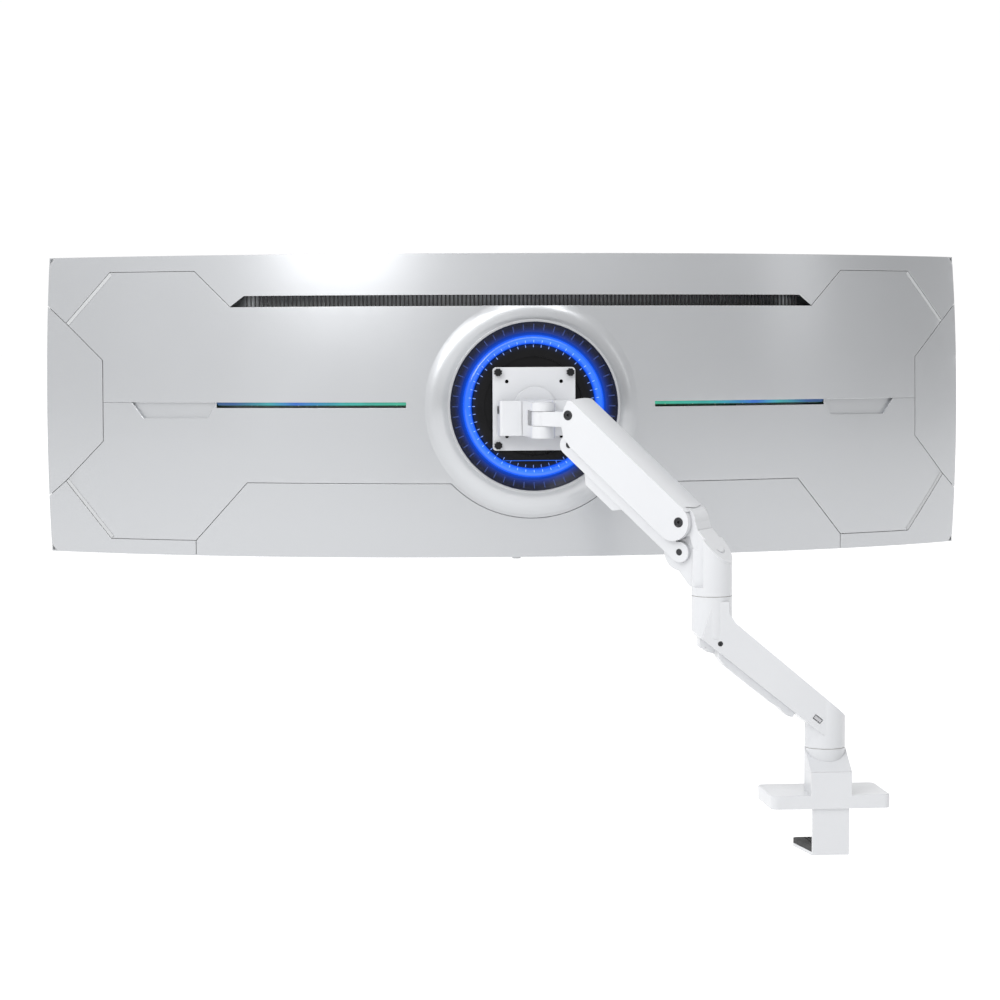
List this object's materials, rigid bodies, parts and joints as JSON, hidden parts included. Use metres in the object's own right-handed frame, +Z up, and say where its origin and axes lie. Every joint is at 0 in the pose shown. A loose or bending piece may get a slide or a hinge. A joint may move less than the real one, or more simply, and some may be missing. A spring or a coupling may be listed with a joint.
{
  "type": "computer monitor",
  "caption": "Ultra-wide curved display with a glowing ring and fine light bars on its back, held by a white desk-clamp arm that swivels, lifts, pans and tilts.",
  "frame": {"origin": "where the base swivel's axis meets the underside of the desk pad", "axes": "+Z up; +Y towards the person who looks at the screen; +X to the right seen from behind the display"},
  "size_m": [1.3276, 0.605, 0.788],
  "materials": {
    "white_paint": "satin",
    "silver_plastic": "gloss",
    "grey_plastic": "satin",
    "black_plastic": "matte",
    "black_gloss": "gloss",
    "screen": "semi-gloss",
    "steel": "brushed",
    "dark_screw": "satin",
    "bearing_plastic": "satin",
    "black_rubber": "matte",
    "foam_grey": "matte",
    "ring_light": "glowing",
    "bar_light": "glowing",
    "circuit_board": "satin",
    "bare_aluminium": "satin",
    "film_white": "matte",
    "zinc_sheet": "galvanised"
  },
  "bodies": {
    "clamp_base": {"base_casting": "white_paint", "screw_cover": "white_paint", "desk_pad": "foam_grey", "base_post": "steel"},
    "clamp_jaw": {"clamp_jaw": "white_paint", "jaw_pad": "black_rubber"},
    "clamp_screw": {"clamp_screw": "steel"},
    "lower_arm": {"lower_arm": "white_paint", "base_bush": "bearing_plastic", "lower_cable_cover": "white_paint", "lower_cable_hook": "white_paint", "hex_key": "steel", "lower_arm_screws": "dark_screw", "elbow_post": "steel"},
    "elbow": {"elbow_housing": "white_paint", "elbow_bush": "bearing_plastic", "elbow_cap": "white_paint", "spring_anchor": "steel"},
    "spring_arm": {"upper_arm": "white_paint", "elbow_pin": "dark_screw", "head_pin": "dark_screw", "gas_spring_cylinder": "dark_screw", "spring_pin": "steel"},
    "gas_rod": {"gas_spring_rod": "steel"},
    "parallel_link": {"parallel_link": "white_paint", "link_pins": "dark_screw", "upper_cable_clip": "white_paint"},
    "head_link": {"head_link": "white_paint"},
    "tilt_head": {"pan_fork": "white_paint", "pan_pin": "white_paint"},
    "tilt_bracket": {"tilt_bracket": "white_paint", "tilt_bolt": "dark_screw"},
    "display": {"roll_disc": "steel", "vesa_plate": "white_paint", "vesa_screws": "black_plastic", "top_panel": "silver_plastic", "centre_panel": "silver_plastic", "lower_cover": "silver_plastic", "end_cap_left": "silver_plastic", "end_cap_right": "silver_plastic", "bottom_corners": "silver_plastic", "corner_strips": "grey_plastic", "vent_grille": "black_plastic", "light_bars": "bar_light", "hub_cone": "black_gloss", "light_ring": "ring_light", "hub_disc": "black_gloss", "light_boards": "circuit_board", "front_frame": "black_plastic", "lcd_panel": "screen", "diffuser_sheets": "film_white", "led_backlight": "circuit_board", "backlight_tray": "zinc_sheet", "vesa_bracket": "zinc_sheet", "main_board": "circuit_board", "heat_sink": "bare_aluminium", "power_board": "circuit_board", "power_inlet": "black_plastic", "port_block": "black_plastic"},
    "jog_button": {"jog_button": "grey_plastic"}
  },
  "joints": [
    {"name": "jaw_slide", "type": "slide", "parent": "clamp_base", "child": "clamp_jaw", "axis": [0, 0, 1], "range_m": [0, 0.036]},
    {"name": "clamp_screw_spin", "type": "hinge", "parent": "clamp_base", "child": "clamp_screw", "pos_m": [0, -0.027, 0.01], "axis": [0, 0, 1], "range_deg": [0, 6480]},
    {"name": "base_swivel", "type": "hinge", "parent": "clamp_base", "child": "lower_arm", "pos_m": [0, 0, 0.0773], "axis": [0, 0, 1], "range_deg": [-90, 90]},
    {"name": "elbow_swivel", "type": "hinge", "parent": "lower_arm", "child": "elbow", "pos_m": [-0.1537, -0.00671, 0.281], "axis": [0, 0, 1], "range_deg": [-30, 90]},
    {"name": "arm_lift", "type": "hinge", "parent": "elbow", "child": "spring_arm", "pos_m": [-0.18108, 0.01445, 0.3778], "axis": [0.6115, 0.7912, 0], "range_deg": [-50, 6]},
    {"name": "link_swing", "type": "hinge", "parent": "elbow", "child": "parallel_link", "pos_m": [-0.18409, 0.01677, 0.3378], "axis": [0.6115, 0.7912, 0], "range_deg": [-50, 6]},
    {"name": "gas_rod_slide", "type": "slide", "parent": "spring_arm", "child": "gas_rod", "axis": [-0.6144, 0.4749, 0.6301], "range_m": [-0.0022, 0.0172]},
    {"name": "head_level", "type": "hinge", "parent": "spring_arm", "child": "head_link", "pos_m": [-0.31321, 0.11657, 0.5133], "axis": [0.6115, 0.7912, 0], "range_deg": [-6, 50]},
    {"name": "head_pan", "type": "hinge", "parent": "head_link", "child": "tilt_head", "pos_m": [-0.35713, 0.15051, 0.5064], "axis": [0, 0, 1], "range_deg": [-25, 75]},
    {"name": "head_tilt", "type": "hinge", "parent": "tilt_head", "child": "tilt_bracket", "pos_m": [-0.35713, 0.22737, 0.51394], "axis": [1, 0, 0], "range_deg": [-10, 20]},
    {"name": "plate_roll", "type": "hinge", "parent": "tilt_bracket", "child": "display", "pos_m": [-0.35713, 0.2454, 0.51431], "axis": [0, -0.9994, 0.0349], "range_deg": [-10, 10]},
    {"name": "jog_press", "type": "slide", "parent": "display", "child": "jog_button", "axis": [0, 0.0349, 0.9994], "range_m": [0, 0.0012], "stiffness_N_per_m": 800}
  ],
  "couplings": [
    {"joint": "clamp_screw_spin", "follows": "jaw_slide", "rad_per_m": 3141.6},
    {"joint": "link_swing", "follows": "arm_lift", "ratio": 1},
    {"joint": "head_level", "follows": "arm_lift", "ratio": -1},
    {"joint": "gas_rod_slide", "follows": "arm_lift", "m_per_rad": -0.0194}
  ]
}
